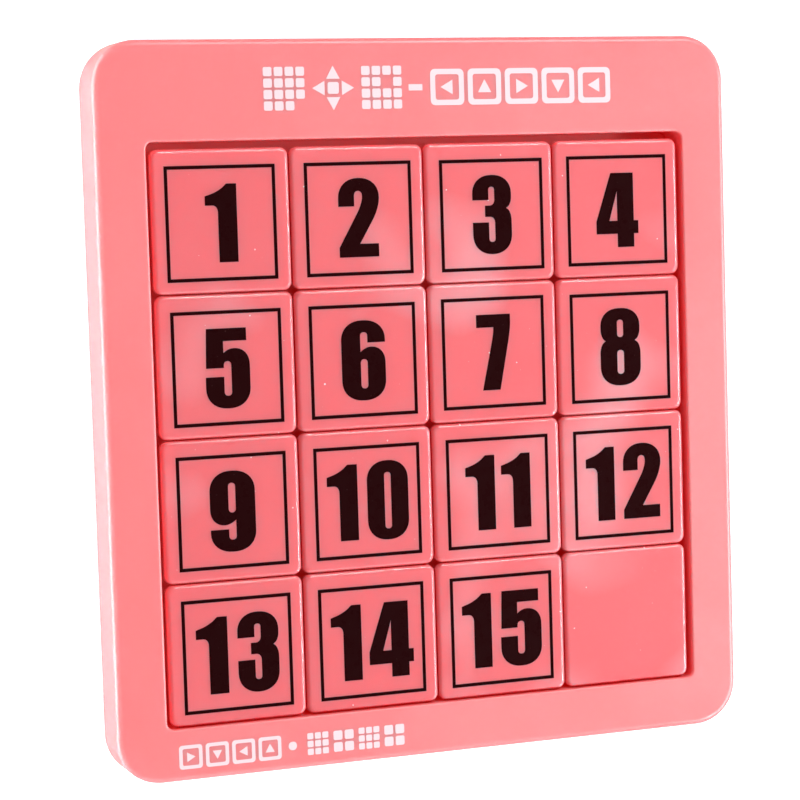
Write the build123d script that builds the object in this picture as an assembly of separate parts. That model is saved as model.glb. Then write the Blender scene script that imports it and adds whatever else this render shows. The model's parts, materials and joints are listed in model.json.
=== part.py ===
"""Sixteen-cell sliding tile puzzle: a shallow moulded tray and sixteen magnetic tiles.

Millimetres. The board lies on its back: +X right, +Y towards the wide border, +Z out of the
tile faces. The origin is the centre of the board's back face.
"""

import os

from build123d import *

# Board outline
BOARD_WIDTH = 119.2
BOARD_LENGTH = 127.9
BOARD_THICKNESS = 9.4
BOARD_CORNER_RADIUS = 8.0
FRONT_EDGE_RADIUS = 1.15
BACK_EDGE_RADIUS = 0.4

# Opening that holds the tiles
OPENING_SIDE = 101.3
OPENING_CORNER_RADIUS = 1.3
OPENING_RIM_RADIUS = 0.35
BOTTOM_BORDER = 9.2

# Moulding and the layers behind the tiles
WALL = 2.0
COVER_THICKNESS = 1.2
COVER_EDGE = 1.0
COVER_CLEARANCE = 0.1
STEEL_THICKNESS = 0.5
STEEL_SIDE = 100.0
STEEL_CORNER_RADIUS = 2.0
FLOOR_THICKNESS = 1.0
RIB_THICKNESS = 1.2
RIB_STEPS = (-1.5, -0.5, 0.5, 1.5)
POST_RADIUS = 2.7
WELD_MARK_RADIUS = 2.2
WELD_MARK_DEPTH = 0.12

# Tiles
TILES_PER_SIDE = 4
PITCH = 25.0
TILE_GAP = 0.2
TILE_CORNER_RADIUS = 1.5
TILE_EDGE_RADIUS = 0.7
TILE_UNDERCUT = 0.2
RIM_ABOVE_TILES = 0.75
LEFT_SLACK = 0.85
BOTTOM_SLACK = 0.2
CAP_THICKNESS = 1.5
BASE_INSET = 1.5
BASE_CORNER_RADIUS = 1.0
BASE_WALL = 1.2
BASE_FLOOR = 0.8
GLIDE_HEIGHT = 0.3
GLIDE_RADIUS = 1.25
SPIGOT_CLEARANCE = 0.1
SPIGOT_WALL = 1.0
SPIGOT_DEPTH = 1.2
MAGNET_RADIUS = 5.0
MAGNET_THICKNESS = 2.0
MAGNET_CHAMFER = 0.2
MAGNET_CLEARANCE = 0.1
MAGNET_COLLAR_WALL = 0.9

# Heights above the back face
STEEL_LOW = COVER_THICKNESS
FLOOR_LOW = STEEL_LOW + STEEL_THICKNESS
FLOOR_TOP = FLOOR_LOW + FLOOR_THICKNESS
TILE_TOP = BOARD_THICKNESS - RIM_ABOVE_TILES
CAP_LOW = TILE_TOP - CAP_THICKNESS
BASE_LOW = FLOOR_TOP + GLIDE_HEIGHT

# Places worked out from the sizes above
TILE_SIDE = PITCH - TILE_GAP
BASE_SIDE = TILE_SIDE - 2 * BASE_INSET
OPENING_CENTRE_Y = -BOARD_LENGTH / 2 + BOTTOM_BORDER + OPENING_SIDE / 2
FIRST_COLUMN_X = -OPENING_SIDE / 2 + LEFT_SLACK + TILE_SIDE / 2
LAST_ROW_Y = OPENING_CENTRE_Y - OPENING_SIDE / 2 + BOTTOM_SLACK + TILE_SIDE / 2


def block(width, length, low, high, radius, centre_y=0.0):
    """A plate with rounded corners, between two heights."""
    outline = RectangleRounded(width, length, radius)
    return Pos(0, centre_y, low) * extrude(outline, amount=high - low)


def disc(radius, low, high):
    return Pos(0, 0, low) * extrude(Circle(radius), amount=high - low)


def edges_of(part, highest=True):
    """The outer edges of a part's highest or lowest flat face."""
    faces = part.faces().filter_by(Axis.Z).sort_by(Axis.Z)
    return faces[-1 if highest else 0].outer_wire().edges()


# ---------------------------------------------------------------- tray


def opening_block(low, high, grow=0.0):
    side = OPENING_SIDE + 2 * grow
    return block(side, side, low, high, OPENING_CORNER_RADIUS + grow, OPENING_CENTRE_Y)


def border_middles():
    """Centre lines of the four borders: x left, x right, y low, y high."""
    half = OPENING_SIDE / 2
    side_x = (BOARD_WIDTH / 2 + half) / 2
    low_y = (-BOARD_LENGTH / 2 + OPENING_CENTRE_Y - half) / 2
    high_y = (BOARD_LENGTH / 2 + OPENING_CENTRE_Y + half) / 2
    return -side_x, side_x, low_y, high_y


def post_places():
    """Four corner posts, one in the middle of each narrow border and two along the wide one."""
    left, right, low, high = border_middles()
    corners = [(x, y) for x in (left, right) for y in (low, high)]
    sides = [(left, OPENING_CENTRE_Y), (right, OPENING_CENTRE_Y), (0.0, low)]
    wide = [(-PITCH, high), (PITCH, high)]
    return corners + sides + wide


def rib_blocks():
    """Cross ribs that tie the outer wall to the wall round the opening."""
    left, right, low, high = border_middles()
    side_border = (BOARD_WIDTH - OPENING_SIDE) / 2
    wide_border = BOARD_LENGTH - BOTTOM_BORDER - OPENING_SIDE
    ribs = []
    for step in RIB_STEPS:
        along = step * PITCH
        ribs.append((left, OPENING_CENTRE_Y + along, side_border - WALL, RIB_THICKNESS))
        ribs.append((right, OPENING_CENTRE_Y + along, side_border - WALL, RIB_THICKNESS))
        ribs.append((along, low, RIB_THICKNESS, BOTTOM_BORDER - WALL))
        ribs.append((along, high, RIB_THICKNESS, wide_border - WALL))
    top = BOARD_THICKNESS - WALL / 2
    middle = (FLOOR_LOW + top) / 2
    height = top - FLOOR_LOW
    return [Pos(x, y, middle) * Box(width, length, height) for x, y, width, length in ribs]


def make_tray_frame():
    """The front moulding: outer wall, face and opening wall, hollow from the back."""
    outside = block(BOARD_WIDTH, BOARD_LENGTH, 0, BOARD_THICKNESS, BOARD_CORNER_RADIUS)
    outside = fillet(edges_of(outside), FRONT_EDGE_RADIUS)
    outside = fillet(edges_of(outside, highest=False), BACK_EDGE_RADIUS)
    frame = outside - opening_block(0, BOARD_THICKNESS)
    rim = frame.faces().filter_by(Axis.Z).sort_by(Axis.Z)[-1].inner_wires()[0].edges()
    frame = fillet(rim, OPENING_RIM_RADIUS)

    inner_width = BOARD_WIDTH - 2 * WALL
    inner_length = BOARD_LENGTH - 2 * WALL
    hollow = block(inner_width, inner_length, 0, BOARD_THICKNESS - WALL, BOARD_CORNER_RADIUS - WALL)
    frame -= hollow - opening_block(0, BOARD_THICKNESS, WALL)

    for rib in rib_blocks():
        frame += rib
    for x, y in post_places():
        frame += Pos(x, y) * disc(POST_RADIUS, 0, BOARD_THICKNESS - WALL / 2)

    frame -= block(
        BOARD_WIDTH - 2 * COVER_EDGE,
        BOARD_LENGTH - 2 * COVER_EDGE,
        0,
        COVER_THICKNESS,
        BOARD_CORNER_RADIUS - COVER_EDGE,
    )
    frame -= opening_block(0, FLOOR_TOP, WALL + COVER_CLEARANCE)
    return frame


def make_slide_floor():
    """The smooth plate that the tiles run on, trapped under the wall round the opening."""
    side = OPENING_SIDE + 2 * (WALL - COVER_CLEARANCE)
    return block(side, side, FLOOR_LOW, FLOOR_TOP, OPENING_CORNER_RADIUS + WALL, OPENING_CENTRE_Y)


def make_steel_sheet():
    """The sheet that the magnets hold on to."""
    return block(STEEL_SIDE, STEEL_SIDE, STEEL_LOW, FLOOR_LOW, STEEL_CORNER_RADIUS, OPENING_CENTRE_Y)


def make_back_cover():
    """The back panel: a seat for the steel sheet, and a shallow weld mark behind each post."""
    inset = COVER_EDGE + COVER_CLEARANCE
    width = BOARD_WIDTH - 2 * inset
    length = BOARD_LENGTH - 2 * inset
    cover = block(width, length, 0, COVER_THICKNESS, BOARD_CORNER_RADIUS - inset)
    low, high = COVER_THICKNESS, FLOOR_LOW
    seat_side = OPENING_SIDE + 2 * (WALL - COVER_CLEARANCE)
    seat = block(seat_side, seat_side, low, high, OPENING_CORNER_RADIUS + WALL, OPENING_CENTRE_Y)
    pocket_side = STEEL_SIDE + 2 * COVER_CLEARANCE
    pocket = block(pocket_side, pocket_side, low, high, STEEL_CORNER_RADIUS, OPENING_CENTRE_Y)
    cover += seat - pocket
    for x, y in post_places():
        cover -= Pos(x, y) * disc(WELD_MARK_RADIUS, 0, WELD_MARK_DEPTH)
    return cover


# ---------------------------------------------------------------- tile


def make_tile_cap():
    """The face of a tile: a rounded plate wider than the base, with a ring that locates the base."""
    plate = block(TILE_SIDE, TILE_SIDE, CAP_LOW, TILE_TOP, TILE_CORNER_RADIUS)
    plate = fillet(edges_of(plate), TILE_EDGE_RADIUS)
    plate = chamfer(edges_of(plate, highest=False), TILE_UNDERCUT)
    ring_side = BASE_SIDE - 2 * (BASE_WALL + SPIGOT_CLEARANCE)
    hole_side = ring_side - 2 * SPIGOT_WALL
    spigot_low = CAP_LOW - SPIGOT_DEPTH
    ring = block(ring_side, ring_side, spigot_low, CAP_LOW, BASE_CORNER_RADIUS)
    ring -= block(hole_side, hole_side, spigot_low, CAP_LOW, BASE_CORNER_RADIUS / 2)
    return plate + ring


def make_tile_base():
    """The lower half of a tile: a shallow cup with four glides and a collar for the magnet."""
    cup = block(BASE_SIDE, BASE_SIDE, BASE_LOW, CAP_LOW, BASE_CORNER_RADIUS)
    floor = BASE_LOW + BASE_FLOOR
    inside = BASE_SIDE - 2 * BASE_WALL
    cup -= block(inside, inside, floor, CAP_LOW, BASE_CORNER_RADIUS / 2)
    collar_inner = MAGNET_RADIUS + MAGNET_CLEARANCE
    collar = disc(collar_inner + MAGNET_COLLAR_WALL, floor, floor + MAGNET_THICKNESS)
    cup += collar - disc(collar_inner, floor, floor + MAGNET_THICKNESS)
    glide_offset = BASE_SIDE / 2 - GLIDE_RADIUS - BASE_WALL
    for x in (-glide_offset, glide_offset):
        for y in (-glide_offset, glide_offset):
            cup += Pos(x, y) * disc(GLIDE_RADIUS, FLOOR_TOP, BASE_LOW)
    return cup


def make_magnet():
    """A disc magnet, standing on the base's floor inside its collar."""
    low = BASE_LOW + BASE_FLOOR
    magnet = disc(MAGNET_RADIUS, low, low + MAGNET_THICKNESS)
    return chamfer(magnet.edges().filter_by(GeomType.CIRCLE), MAGNET_CHAMFER)


def tile_places():
    """Names and centres of the tiles, in reading order from the wide border; the last is blank."""
    places = []
    for row in range(TILES_PER_SIDE):
        for column in range(TILES_PER_SIDE):
            number = row * TILES_PER_SIDE + column + 1
            name = "blank_tile" if number == TILES_PER_SIDE**2 else f"tile_{number:02d}"
            x = FIRST_COLUMN_X + column * PITCH
            y = LAST_ROW_Y + (TILES_PER_SIDE - 1 - row) * PITCH
            places.append((name, x, y))
    return places


def all_parts():
    parts = {
        "tray_frame": make_tray_frame(),
        "slide_floor": make_slide_floor(),
        "steel_sheet": make_steel_sheet(),
        "back_cover": make_back_cover(),
    }
    pieces = {"cap": make_tile_cap(), "base": make_tile_base(), "magnet": make_magnet()}
    for name, x, y in tile_places():
        for piece, shape in pieces.items():
            parts[f"{name}_{piece}"] = Pos(x, y) * shape
    return parts


os.makedirs("parts", exist_ok=True)
for node, shape in all_parts().items():
    export_step(shape, f"parts/{node}.step")
    print(f"{node}: {shape.volume:.1f} mm3")
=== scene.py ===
import json
import math

import bpy
from mathutils import Matrix, Vector
from mathutils.geometry import tessellate_polygon


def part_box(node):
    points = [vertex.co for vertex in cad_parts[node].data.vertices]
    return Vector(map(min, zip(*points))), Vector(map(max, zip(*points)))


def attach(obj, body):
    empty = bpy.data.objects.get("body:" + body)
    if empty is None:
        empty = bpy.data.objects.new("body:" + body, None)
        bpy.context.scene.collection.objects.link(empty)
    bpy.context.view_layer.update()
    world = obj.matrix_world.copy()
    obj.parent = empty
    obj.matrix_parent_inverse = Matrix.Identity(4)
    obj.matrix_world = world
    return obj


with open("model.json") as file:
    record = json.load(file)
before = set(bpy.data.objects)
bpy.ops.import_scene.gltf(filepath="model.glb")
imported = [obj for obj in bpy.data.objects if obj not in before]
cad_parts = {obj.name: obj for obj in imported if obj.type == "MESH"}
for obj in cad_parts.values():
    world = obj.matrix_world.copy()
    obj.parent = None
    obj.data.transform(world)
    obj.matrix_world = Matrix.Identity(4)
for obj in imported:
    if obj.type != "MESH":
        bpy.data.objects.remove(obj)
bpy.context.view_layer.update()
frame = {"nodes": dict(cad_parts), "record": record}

MM = 0.001
NUMBERED_TILES = 15

# Places read from the frame
first_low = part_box("tile_01_cap")[0]
second_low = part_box("tile_02_cap")[0]
PITCH = second_low.x - first_low.x
TRAY_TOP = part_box("tray_frame")[1].z


def tile_name(number):
    """The name of a numbered tile's body."""
    return f"tile_{number:02d}"


def tile_centre(number):
    """The middle of a tile's face."""
    low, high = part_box(f"{tile_name(number)}_cap")
    return Vector(((low.x + high.x) / 2, (low.y + high.y) / 2, high.z))


# ---------------------------------------------------------------- camera, floor and lights

# The camera looks at a point given from the middle of tile 1's face
CAMERA_AIM = Vector((31.72, -32.76, -0.04)) * MM
CAMERA_DISTANCE = 456.1 * MM
CAMERA_AZIMUTH = math.radians(167.67)
CAMERA_ELEVATION = math.radians(69.12)
CAMERA_ROLL = math.radians(-1.88)
CAMERA_LENS = 115.6
CLIP_START = 0.01

FLOOR_SIDE = 4.0
WORLD_STRENGTH = 0.15

# Rectangular lights, in metres and watts: name, place, the point it faces, width and height, power.
# The first is the key light, the second is for the upper edges, the third fills in from the picture's
# lower side, and the last lights the board's left wall.
LIGHTS = (
    ("key_softbox", (0.76, -0.28, 0.59), (0.0, 0.0, 0.0), (0.9, 0.1), 12.5),
    ("top_strip", (0.4, 0.7, 0.72), (0.0, 0.0, 0.0), (0.5, 0.12), 6.0),
    ("lower_panel", (0.1, -1.0, 0.45), (0.0, 0.0, 0.0), (0.9, 0.7), 4.0),
    ("low_bar", (-0.2, 0.0, 0.004), (0.0, 0.0, 0.004), (0.4, 0.007), 1.0),
)


def add_camera():
    """The view from above and the left, turned so that the board's +Y is nearly upright."""
    level = math.cos(CAMERA_ELEVATION)
    back = Vector(
        (
            math.cos(CAMERA_AZIMUTH) * level,
            math.sin(CAMERA_AZIMUTH) * level,
            math.sin(CAMERA_ELEVATION),
        )
    )
    upright = Vector((-math.sin(CAMERA_ROLL), math.cos(CAMERA_ROLL), 0))
    right = upright.cross(back).normalized()
    up = back.cross(right)
    camera_data = bpy.data.cameras.new("camera")
    camera_data.lens = CAMERA_LENS
    camera_data.clip_start = CLIP_START
    camera = bpy.data.objects.new("camera", camera_data)
    turn = Matrix((right, up, back)).transposed().to_4x4()
    target = tile_centre(1) + CAMERA_AIM
    camera.matrix_world = Matrix.Translation(target + back * CAMERA_DISTANCE) @ turn
    bpy.context.scene.collection.objects.link(camera)
    bpy.context.scene.camera = camera


def add_area_light(name, place, target, size, power):
    light_data = bpy.data.lights.new(name, "AREA")
    light_data.shape = "RECTANGLE"
    light_data.size, light_data.size_y = size
    light_data.energy = power
    light = bpy.data.objects.new(name, light_data)
    light.location = Vector(place)
    light.rotation_euler = (Vector(place) - Vector(target)).to_track_quat("Z", "Y").to_euler()
    bpy.context.scene.collection.objects.link(light)


def add_stage():
    """The pale floor under the board, the lights and a weak even light from all sides."""
    bpy.ops.mesh.primitive_plane_add(size=FLOOR_SIDE, location=(0, 0, 0))
    floor = bpy.context.object
    floor.name = "floor"
    floor.data.materials.append(floor_material())
    for light in LIGHTS:
        add_area_light(*light)
    world = bpy.data.worlds.new("studio")
    world.use_nodes = True
    background = world.node_tree.nodes["Background"]
    background.inputs["Color"].default_value = (1, 1, 1, 1)
    background.inputs["Strength"].default_value = WORLD_STRENGTH
    bpy.context.scene.world = world
    bpy.context.scene.view_settings.view_transform = "Standard"


# ---------------------------------------------------------------- materials

# The Mix node's sockets when it mixes colours
MIX_FACTOR, MIX_FIRST, MIX_SECOND, MIX_RESULT = 0, 6, 7, 2

# Rays that each Bevel and Ambient Occlusion node traces
NODE_SAMPLES = 8


class Shader:
    """A Principled material and short calls to add nodes to it. Lengths are in metres."""

    def __init__(self, name):
        self.material = bpy.data.materials.new(name)
        self.material.use_nodes = True
        self.tree = self.material.node_tree
        self.surface = self.tree.nodes["Principled BSDF"]
        self.place = self.tree.nodes.new("ShaderNodeTexCoord").outputs["Object"]

    def set(self, **values):
        for name, value in values.items():
            self.surface.inputs[name.replace("_", " ")].default_value = value

    def noise(self, scale, detail):
        node = self.tree.nodes.new("ShaderNodeTexNoise")
        node.inputs["Scale"].default_value = scale
        node.inputs["Detail"].default_value = detail
        self.tree.links.new(self.place, node.inputs["Vector"])
        return node.outputs["Fac"]

    def spread(self, factor, low, high, start=0.35, end=0.65):
        """Maps a factor between start and end to numbers between low and high."""
        node = self.tree.nodes.new("ShaderNodeMapRange")
        node.inputs["From Min"].default_value = start
        node.inputs["From Max"].default_value = end
        node.inputs["To Min"].default_value = low
        node.inputs["To Max"].default_value = high
        self.tree.links.new(factor, node.inputs["Value"])
        return node.outputs["Result"]

    def blend(self, factor, first, second):
        """A colour between two, each a colour or another node's output."""
        node = self.tree.nodes.new("ShaderNodeMix")
        node.data_type = "RGBA"
        self.tree.links.new(factor, node.inputs[MIX_FACTOR])
        for socket, colour in ((node.inputs[MIX_FIRST], first), (node.inputs[MIX_SECOND], second)):
            if isinstance(colour, bpy.types.NodeSocket):
                self.tree.links.new(colour, socket)
            else:
                socket.default_value = (*colour, 1.0)
        return node.outputs[MIX_RESULT]

    def bump(self, height, distance, strength, edge_round=None):
        """Fine relief, and edges that catch the light as if they were rounded this much."""
        node = self.tree.nodes.new("ShaderNodeBump")
        node.inputs["Distance"].default_value = distance
        node.inputs["Strength"].default_value = strength
        self.tree.links.new(height, node.inputs["Height"])
        if edge_round:
            bevel = self.tree.nodes.new("ShaderNodeBevel")
            bevel.samples = NODE_SAMPLES
            bevel.inputs["Radius"].default_value = edge_round
            self.tree.links.new(bevel.outputs["Normal"], node.inputs["Normal"])
        self.link(node.outputs["Normal"], "Normal")

    def openness(self, reach):
        """1 on open faces, less down in gaps narrower than the reach."""
        node = self.tree.nodes.new("ShaderNodeAmbientOcclusion")
        node.samples = NODE_SAMPLES
        node.inputs["Distance"].default_value = reach
        return node.outputs["AO"]

    def link(self, output, name):
        self.tree.links.new(output, self.surface.inputs[name])


# Painted shade: the plastic's colour is blended to this deep red in gaps narrower than this reach
GAP_SHADE_RED = (0.6, 0.012, 0.014)
GAP_SHADE_REACH = 1.0 * MM


def moulded_plastic(name, light, deep, roughness, glow_depth, red_glow, edge_round):
    """Tinted moulded plastic: faint flow marks in colour and gloss, fine texture, a soft glow inside.

    The red glow is painted light: the plastic gives off faint red light of its own, which stands for
    red light that travels far inside the plastic and comes out in the gaps.
    """
    shader = Shader(name)
    shader.set(Specular_IOR_Level=0.5, IOR=1.6)
    shader.set(Subsurface_Weight=1.0, Subsurface_Scale=glow_depth)
    shader.set(Subsurface_Radius=(1.0, 0.08, 0.07))
    # Painted glow: the plastic gives off faint red light of its own
    shader.set(Emission_Color=(1.0, 0.0, 0.0, 1.0), Emission_Strength=red_glow)
    gloss_marks = shader.noise(60.0, detail=4.0)
    shader.link(shader.spread(gloss_marks, *roughness), "Roughness")
    texture = shader.noise(1800.0, detail=2.0)
    shader.bump(texture, distance=0.02 * MM, strength=0.12, edge_round=edge_round)
    flow_marks = shader.noise(28.0, detail=3.0)
    colour = shader.blend(shader.spread(flow_marks, 0.0, 1.0), deep, light)
    return shader, colour


def coloured(shader, colour):
    """The plastic with its colour, and painted shade of deeper red down in the narrow gaps."""
    unshaded_share = shader.spread(shader.openness(GAP_SHADE_REACH), 0.0, 1.0, start=0.2, end=0.65)
    # Painted shade: the colour turns deep red where the Ambient Occlusion node finds the gap narrow
    shader.link(shader.blend(unshaded_share, GAP_SHADE_RED, colour), "Base Color")
    return shader.material


def tray_plastic():
    """Satin, and a little paler than the tiles."""
    shader, colour = moulded_plastic(
        "tray_plastic",
        light=(0.97, 0.266, 0.28),
        deep=(0.95, 0.256, 0.27),
        roughness=(0.3, 0.38),
        glow_depth=4.0 * MM,
        red_glow=0.09,
        edge_round=0.6 * MM,
    )
    return coloured(shader, colour)


def tile_plastic():
    """Glossier than the tray, with soft paler patches that are painted reflections, and a few specks of
    dust.
    """
    shader, colour = moulded_plastic(
        "tile_plastic",
        light=(0.95, 0.2, 0.22),
        deep=(0.93, 0.19, 0.21),
        roughness=(0.09, 0.14),
        glow_depth=2.5 * MM,
        red_glow=0.015,
        edge_round=0.9 * MM,
    )
    # Painted reflections: soft paler patches stand for the sheen of the lights on the glossy faces
    sheen_patches = shader.spread(shader.noise(44.0, detail=1.0), 0.0, 1.0, start=0.57, end=0.75)
    pale = (0.96, 0.33, 0.36)
    colour = shader.blend(sheen_patches, colour, pale)
    specks = shader.spread(shader.noise(1500.0, detail=0.0), 0.0, 1.0, start=0.88, end=0.9)
    dust = (1.0, 0.8, 0.8)
    return coloured(shader, shader.blend(specks, colour, dust))


def ink_material(name, colour, thin, roughness):
    """Pad-printing ink: nearly solid colour with faint mottling and small thin spots."""
    shader = Shader(name)
    shader.set(Specular_IOR_Level=0.03)
    spots = shader.spread(shader.noise(3000.0, detail=1.0), 0.0, 1.0, start=0.74, end=0.8)
    shader.link(shader.blend(spots, colour, thin), "Base Color")
    mottling = shader.noise(500.0, detail=3.0)
    shader.link(shader.spread(mottling, *roughness), "Roughness")
    shader.bump(shader.noise(2500.0, detail=2.0), distance=0.01 * MM, strength=0.2)
    return shader.material


def black_ink():
    colour = (0.016, 0.002, 0.0025)
    thin = (0.05, 0.02, 0.022)
    return ink_material("black_ink", colour, thin, roughness=(0.25, 0.35))


def white_ink():
    colour = (0.88, 0.68, 0.72)
    thin = (0.9, 0.6, 0.62)
    return ink_material("white_ink", colour, thin, roughness=(0.4, 0.55))


def plated_metal(name, colour, roughness, grain):
    """Plated metal with fine scratches, drawn out where the grain's numbers are small."""
    shader = Shader(name)
    shader.set(Metallic=1.0)
    stretch = shader.tree.nodes.new("ShaderNodeMapping")
    stretch.inputs["Scale"].default_value = grain
    shader.tree.links.new(shader.place, stretch.inputs["Vector"])
    shader.place = stretch.outputs["Vector"]
    scratches = shader.noise(400.0, detail=3.0)
    dark = tuple(channel * 0.8 for channel in colour)
    shader.link(shader.blend(shader.spread(scratches, 0.0, 1.0), dark, colour), "Base Color")
    shader.link(shader.spread(scratches, *roughness), "Roughness")
    return shader.material


def steel_plating():
    colour = (0.62, 0.63, 0.64)
    return plated_metal("zinc_plated_steel", colour, roughness=(0.25, 0.4), grain=(1, 20, 1))


def magnet_plating():
    colour = (0.72, 0.71, 0.69)
    return plated_metal("nickel_plated_magnet", colour, roughness=(0.12, 0.25), grain=(1, 1, 6))


def floor_material():
    """Pale paper that looks white to the camera and throws no extra light on the board."""
    shader = Shader("pale_floor")
    fibres = shader.spread(shader.noise(6.0, detail=2.0), 0.0, 1.0)
    darker, lighter = (0.6, 0.6, 0.6), (0.63, 0.63, 0.63)
    shader.link(shader.blend(fibres, darker, lighter), "Base Color")
    shader.set(Roughness=0.9, Specular_IOR_Level=0.1, Emission_Color=(1.0, 1.0, 1.0, 1.0))
    seen = shader.tree.nodes.new("ShaderNodeLightPath").outputs["Is Camera Ray"]
    shader.link(seen, "Emission Strength")
    return shader.material


# ---------------------------------------------------------------- flat printed shapes

# How many steps make a rounded corner, and how far its curve is pulled towards the corner's tip
CURVE_STEPS = 10
CURVE_FULLNESS = 0.6


def rounded_outline(corners):
    """Points round an outline. A corner is (x, y), (x, y, cut) or (x, y, cut before, cut after)."""
    points = []
    for index, corner in enumerate(corners):
        x, y, *cuts = corner
        here = Vector((x, y))
        if not cuts:
            points.append(here)
            continue
        before = Vector(corners[index - 1][:2]) - here
        after = Vector(corners[(index + 1) % len(corners)][:2]) - here
        start = here + before.normalized() * cuts[0]
        end = here + after.normalized() * cuts[-1]
        first = start.lerp(here, CURVE_FULLNESS)
        second = end.lerp(here, CURVE_FULLNESS)
        for step in range(CURVE_STEPS + 1):
            t = step / CURVE_STEPS
            u = 1 - t
            points.append(start * u**3 + first * 3 * u * u * t + second * 3 * u * t * t + end * t**3)
    return points


def rectangle(left, bottom, right, top, cut=None):
    corners = [(left, bottom), (right, bottom), (right, top), (left, top)]
    return [(*corner, cut) for corner in corners] if cut else corners


def slab_mesh(name, shapes, origin, thickness):
    """A thin closed mesh of flat shapes that stands on origin.

    A shape is a list of an outline and its holes, in millimetres. Every point is made twice, at the
    bottom and at the top, and the walls join the two.
    """
    vertices, faces = [], []
    for shape in shapes:
        loops = [rounded_outline(corners) for corners in shape]
        flat = [point for loop in loops for point in loop]
        base = len(vertices)
        count = len(flat)
        for height in (0, thickness):
            vertices += [origin + Vector((p.x * MM, p.y * MM, height)) for p in flat]
        triangles = tessellate_polygon([[point.to_3d() for point in loop] for loop in loops])
        for a, b, c in triangles:
            turn = (flat[b] - flat[a]).cross(flat[c] - flat[a])
            if turn < 0:
                b, c = c, b
            faces.append((base + count + a, base + count + b, base + count + c))
            faces.append((base + a, base + c, base + b))
        first = base
        for index, loop in enumerate(loops):
            size = len(loop)
            area = sum(loop[k - 1].cross(loop[k]) for k in range(size))
            outward = (area > 0) == (index == 0)
            for k in range(size):
                a, b = first + k, first + (k + 1) % size
                wall = (a, b, b + count, a + count)
                faces.append(wall if outward else wall[::-1])
            first += size
    mesh = bpy.data.meshes.new(name)
    mesh.from_pydata(vertices, [], faces)
    mesh.validate()
    mesh.update()
    return mesh


def add_print(name, shapes, origin, thickness, body, material):
    """A printed piece that moves with a body."""
    piece = bpy.data.objects.new(name, slab_mesh(name, shapes, origin, thickness))
    bpy.context.scene.collection.objects.link(piece)
    piece.data.materials.append(material)
    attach(piece, body)


# ---------------------------------------------------------------- digits

# Outlines in millimetres from the lower left of each digit, run in either direction. Holes follow.
CAP_HEIGHT = 13.5
ROUND_TOP = 13.85
ROUND_BOTTOM = -0.3
SIX_WIDTH = 8.2
SIX = [
    [
        (SIX_WIDTH, 9.9),
        (4.9, 9.9),
        (4.9, 11.75, 0.65),
        (3.55, 11.75, 0.65),
        (3.55, 8.25),
        (4.6, 9.15, 1.1, 1.0),
        (SIX_WIDTH, 9.15, 2.6, 2.8),
        (SIX_WIDTH, ROUND_BOTTOM, 3.5, 3.9),
        (0.0, ROUND_BOTTOM, 3.9, 3.5),
        (0.0, ROUND_TOP, 3.5, 3.9),
        (SIX_WIDTH, ROUND_TOP, 3.9, 3.4),
    ],
    rectangle(3.55, 1.8, 4.85, 7.0, 0.65),
]
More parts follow.
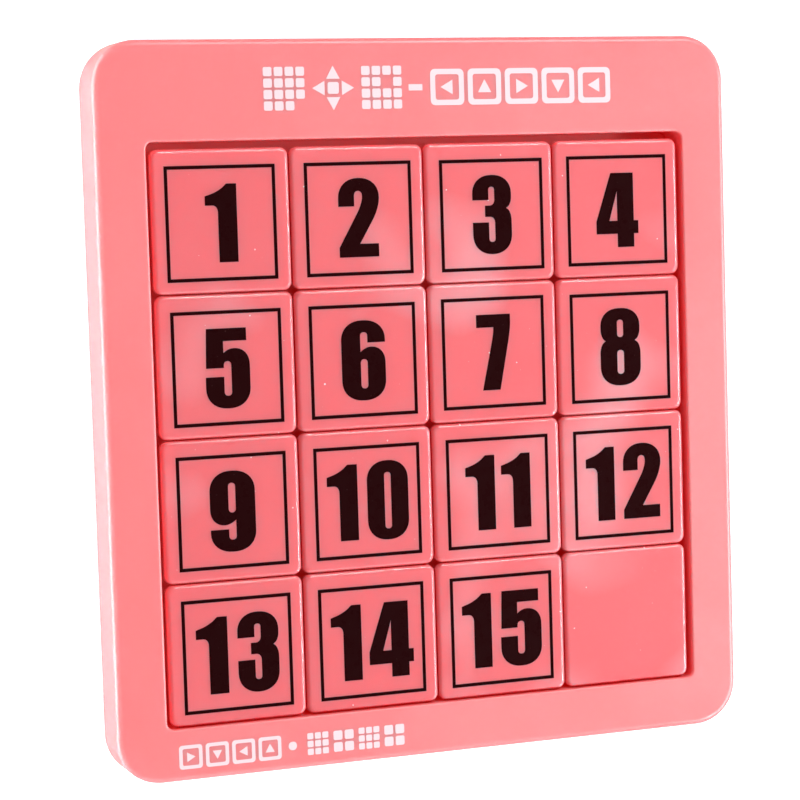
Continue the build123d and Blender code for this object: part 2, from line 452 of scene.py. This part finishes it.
# A nine is the six turned upside down
NINE = [
    [(SIX_WIDTH - x, ROUND_TOP + ROUND_BOTTOM - y, *cuts) for x, y, *cuts in outline] for outline in SIX
]
DIGITS = {
    "0": [
        [
            (0.0, ROUND_BOTTOM, 3.5, 3.7),
            (7.75, ROUND_BOTTOM, 3.7, 3.5),
            (7.75, ROUND_TOP, 3.5, 3.7),
            (0.0, ROUND_TOP, 3.7, 3.5),
        ],
        rectangle(3.25, 1.65, 4.5, 11.75, 0.6),
    ],
    "1": [
        [
            (0.0, 9.8),
            (2.3, 9.8, 1.0, 1.3),
            (2.3, 0.0),
            (5.7, 0.0),
            (5.7, CAP_HEIGHT),
            (3.9, CAP_HEIGHT),
            (2.5, 12.2, 1.2, 1.6),
            (0.0, 11.4),
        ]
    ],
    "2": [
        [
            (0.0, 0.0),
            (7.35, 0.0),
            (7.35, 2.3),
            (3.85, 2.3),
            (7.6, 8.55, 2.4, 1.8),
            (7.6, ROUND_TOP, 3.4, 3.7),
            (0.0, ROUND_TOP, 3.7, 3.5),
            (0.0, 8.9),
            (2.95, 8.9),
            (2.95, 11.6, 0.9, 0.72),
            (4.45, 11.6, 0.72, 0.9),
            (4.45, 9.4, 1.1, 2.0),
            (0.0, 1.7),
        ]
    ],
    "3": [
        [
            (0.0, 9.4),
            (0.0, ROUND_TOP, 3.3, 3.6),
            (7.5, ROUND_TOP, 3.6, 3.3),
            (7.5, 8.55, 1.4, 0.9),
            (6.5, 7.9),
            (7.5, 7.25, 0.9, 1.6),
            (7.5, ROUND_BOTTOM, 3.5, 3.7),
            (0.0, ROUND_BOTTOM, 3.7, 3.5),
            (0.0, 5.4),
            (3.1, 5.4),
            (3.1, 1.9, 0.58),
            (4.3, 1.9, 0.58),
            (4.3, 6.4, 1.1, 1.0),
            (2.4, 6.4),
            (2.4, 8.4),
            (4.25, 8.4, 1.0, 1.1),
            (4.25, 11.75, 0.55),
            (3.1, 11.75, 0.55),
            (3.1, 9.4),
        ]
    ],
    "4": [
        [
            (0.0, 2.45),
            (4.2, 2.45),
            (4.2, 0.0),
            (7.5, 0.0),
            (7.5, 2.45),
            (8.4, 2.45),
            (8.4, 4.8),
            (7.5, 4.8),
            (7.5, CAP_HEIGHT),
            (3.0, CAP_HEIGHT),
            (0.0, 4.7),
        ],
        [(4.2, 10.2), (4.2, 4.8), (2.6, 4.8)],
    ],
    "5": [
        [
            (0.3, 13.6),
            (7.5, 13.6),
            (7.5, 11.4),
            (3.3, 11.4),
            (3.3, 9.3),
            (4.2, 10.1, 0.9, 1.0),
            (8.0, 10.1, 2.7, 2.9),
            (8.0, ROUND_BOTTOM, 3.5, 3.8),
            (0.0, ROUND_BOTTOM, 3.8, 3.5),
            (0.0, 5.2),
            (3.3, 5.2),
            (3.3, 1.9, 0.66),
            (4.65, 1.9, 0.66),
            (4.65, 7.9, 0.66),
            (3.3, 7.9, 0.66),
            (3.3, 6.75),
            (0.1, 6.75),
        ]
    ],
    "6": SIX,
    "7": [
        [
            (0.0, 13.6),
            (6.6, 13.6),
            (6.6, 10.9, 1.2, 2.6),
            (4.4, 0.0),
            (1.0, 0.0),
            (3.25, 9.9, 2.6, 0.6),
            (3.3, 11.3),
            (0.0, 11.3),
        ]
    ],
    "8": [
        [
            (1.1, 7.9),
            (0.1, 8.6, 0.9, 1.5),
            (0.1, ROUND_TOP, 3.2, 3.6),
            (7.95, ROUND_TOP, 3.6, 3.2),
            (7.95, 8.6, 1.5, 0.9),
            (6.95, 7.9),
            (8.05, 7.15, 0.9, 1.6),
            (8.05, ROUND_BOTTOM, 3.4, 3.8),
            (0.0, ROUND_BOTTOM, 3.8, 3.4),
            (0.0, 7.15, 1.6, 0.9),
        ],
        rectangle(3.4, 8.55, 4.65, 11.75, 0.6),
        rectangle(3.35, 1.8, 4.7, 6.2, 0.65),
    ],
    "9": NINE,
}
DIGIT_WIDTHS = {name: max(corner[0] for corner in shape[0]) for name, shape in DIGITS.items()}

# The space between a number's two digits, less before some second digits
DIGIT_GAP = 1.8
TIGHT_GAPS = {"1": 1.25, "4": 1.4}

# The printed square: half its outer side, and the width of its line
SQUARE_HALF = 9.96
SQUARE_LINE = 0.6
TILE_INK_THICKNESS = 0.02 * MM

# How far the printing lies off the middle of the tiles, in millimetres, and what three tiles add
PRINT_SHIFT = Vector((0.1, -0.4, 0.0))
NO_SHIFT = Vector((0.0, 0.0, 0.0))
OWN_SHIFTS = {
    1: Vector((-0.2, 0.0, 0.0)),
    3: Vector((0.3, -0.1, 0.0)),
    7: Vector((-0.1, 0.2, 0.0)),
}


def moved(outline, x, y):
    return [(corner[0] + x, corner[1] + y, *corner[2:]) for corner in outline]


def number_shapes(text):
    """The digits of a number, centred on a tile's face."""
    gap = TIGHT_GAPS.get(text[-1], DIGIT_GAP)
    width = sum(DIGIT_WIDTHS[digit] for digit in text) + gap * (len(text) - 1)
    x = -width / 2
    shapes = []
    for digit in text:
        shapes.append([moved(outline, x, -CAP_HEIGHT / 2) for outline in DIGITS[digit]])
        x += DIGIT_WIDTHS[digit] + gap
    return shapes


def square_line_shapes():
    """The thin square printed round a number."""
    outer = SQUARE_HALF
    inner = SQUARE_HALF - SQUARE_LINE
    return [[rectangle(-half, -half, half, half) for half in (outer, inner)]]


def add_tile_prints(ink):
    for number in range(1, NUMBERED_TILES + 1):
        name = tile_name(number)
        shift = PRINT_SHIFT + OWN_SHIFTS.get(number, NO_SHIFT)
        middle = tile_centre(number) + shift * MM
        thickness = TILE_INK_THICKNESS
        add_print(f"{name}_number", number_shapes(str(number)), middle, thickness, name, ink)
        add_print(f"{name}_line", square_line_shapes(), middle, thickness, name, ink)


# ---------------------------------------------------------------- ornament on the borders

TRAY_INK_THICKNESS = 0.01 * MM

# Lower left corners of the two ornaments, in tile pitches from the middles of tiles 1 and 13
TITLE_START = (0.31, 0.755)
LOWER_LINE_START = (-0.46, -0.77)

# Proportions of the signs. A small block's gap is a share of its cell, its cut corners are a share
# of its side, a triangle's tail is a share of its reach, and the rest are shares of a sign's side.
BLOCK_GAP = 0.2
BLOCK_CUT = 0.2
TRIANGLE_TAIL = 0.8
RING_LINE = 0.15
RING_ARROW = 0.2
CROSS_BLOCK = 0.13
CROSS_ARROW = 0.16
CROSS_REACH = 0.33


def block_grid(size, across, missing=None):
    """Small blocks in a square, with one left out like the free cell of a puzzle."""
    step = size / across
    side = step * (1 - BLOCK_GAP)
    shapes = []
    for cell in range(across**2):
        if cell == missing:
            continue
        x = (cell % across) * step + (step - side) / 2
        y = size - (cell // across + 1) * step + (step - side) / 2
        shapes.append([rectangle(x, y, x + side, y + side, side * BLOCK_CUT)])
    return shapes


def triangle(size, reach, quarter_turns, out=0.0):
    """A triangle about the middle of a square that points right, or is turned left by quarter turns."""
    turn = Matrix.Rotation(math.radians(90) * quarter_turns, 2)
    middle = Vector((size / 2, size / 2))
    tail = -reach * TRIANGLE_TAIL
    tips = [Vector((reach, 0)), Vector((tail, reach)), Vector((tail, -reach))]
    return [tuple(turn @ (tip + Vector((out, 0))) + middle) for tip in tips]


def square_ring(size, line):
    return [
        rectangle(0, 0, size, size, line),
        rectangle(line, line, size - line, size - line, line / 2),
    ]


def arrow_block(size, quarter_turns):
    """A square ring round a triangle."""
    ring = square_ring(size, size * RING_LINE)
    return [ring, [triangle(size, size * RING_ARROW, quarter_turns)]]


def small_block(x, y, half):
    """A block about a point, given half its side."""
    cut = half * 2 * BLOCK_CUT
    return [rectangle(x - half, y - half, x + half, y + half, cut)]


def four_ways(size):
    """Four triangles that point outwards round a small block."""
    shapes = [small_block(size / 2, size / 2, size * CROSS_BLOCK)]
    for quarter_turns in range(4):
        shapes.append([triangle(size, size * CROSS_ARROW, quarter_turns, size * CROSS_REACH)])
    return shapes


def placed(shapes, x, y):
    return [[moved(outline, x, y) for outline in shape] for shape in shapes]


def title_shapes():
    """Three big signs, a dash and five smaller signs, from the left."""
    big, big_step = 7.9, 9.0
    small, small_step, small_lift = 6.4, 7.15, 0.65
    dash_length, dash_height, dash_room = 2.6, 1.1, 4.1
    shapes = placed(block_grid(big, 4, missing=15), 0, 0)
    shapes += placed(four_ways(big), big_step, 0)
    shapes += placed(block_grid(big, 4, missing=6), 2 * big_step, 0)
    dash_x = 3 * big_step
    dash_y = big * 0.42
    shapes.append([rectangle(dash_x, dash_y, dash_x + dash_length, dash_y + dash_height)])
    for index, quarter_turns in enumerate((2, 1, 0, 3, 2)):
        x = dash_x + dash_room + index * small_step
        shapes += placed(arrow_block(small, quarter_turns), x, small_lift)
    return shapes


def lower_line_shapes():
    """Four little signs, a dot and four more."""
    size, step = 4.2, 4.8
    dot_half, dot_cut, dot_room = 0.75, 0.72, 2.6
    shapes = []
    for index, quarter_turns in enumerate((0, 3, 2, 1)):
        shapes += placed(arrow_block(size, quarter_turns), index * step, 0)
    dot_x = 4 * step + 2 * dot_half
    low, high = size / 2 - dot_half, size / 2 + dot_half
    shapes.append([rectangle(dot_x - dot_half, low, dot_x + dot_half, high, dot_cut)])
    for index, across in enumerate((3, 2, 3, 2)):
        shapes += placed(block_grid(size, across), dot_x + dot_room + index * step, 0)
    return shapes


def ornament_place(number, start):
    """A place on the tray's face, given in pitches from the middle of a tile."""
    middle = tile_centre(number) + PRINT_SHIFT * MM
    return Vector((middle.x + start[0] * PITCH, middle.y + start[1] * PITCH, TRAY_TOP))


def add_border_prints(ink):
    """The ornament lies on the wide border and at the left of the border opposite."""
    title = ornament_place(1, TITLE_START)
    line = ornament_place(13, LOWER_LINE_START)
    thickness = TRAY_INK_THICKNESS
    add_print("wide_border_ornament", title_shapes(), title, thickness, "tray", ink)
    add_print("lower_border_ornament", lower_line_shapes(), line, thickness, "tray", ink)


# ---------------------------------------------------------------- materials on the CAD nodes


def finish_nodes():
    """Each node gets the material that its record names."""
    finishes = {
        "tray_plastic": tray_plastic(),
        "tile_plastic": tile_plastic(),
        "zinc_plated_steel": steel_plating(),
        "nickel_plated_magnet": magnet_plating(),
    }
    for part in frame["record"]["subparts"]:
        node = frame["nodes"][part["node"]]
        node.data.materials.clear()
        node.data.materials.append(finishes[part["material_slot"]])


add_camera()
add_stage()
finish_nodes()
add_tile_prints(black_ink())
add_border_prints(white_ink())
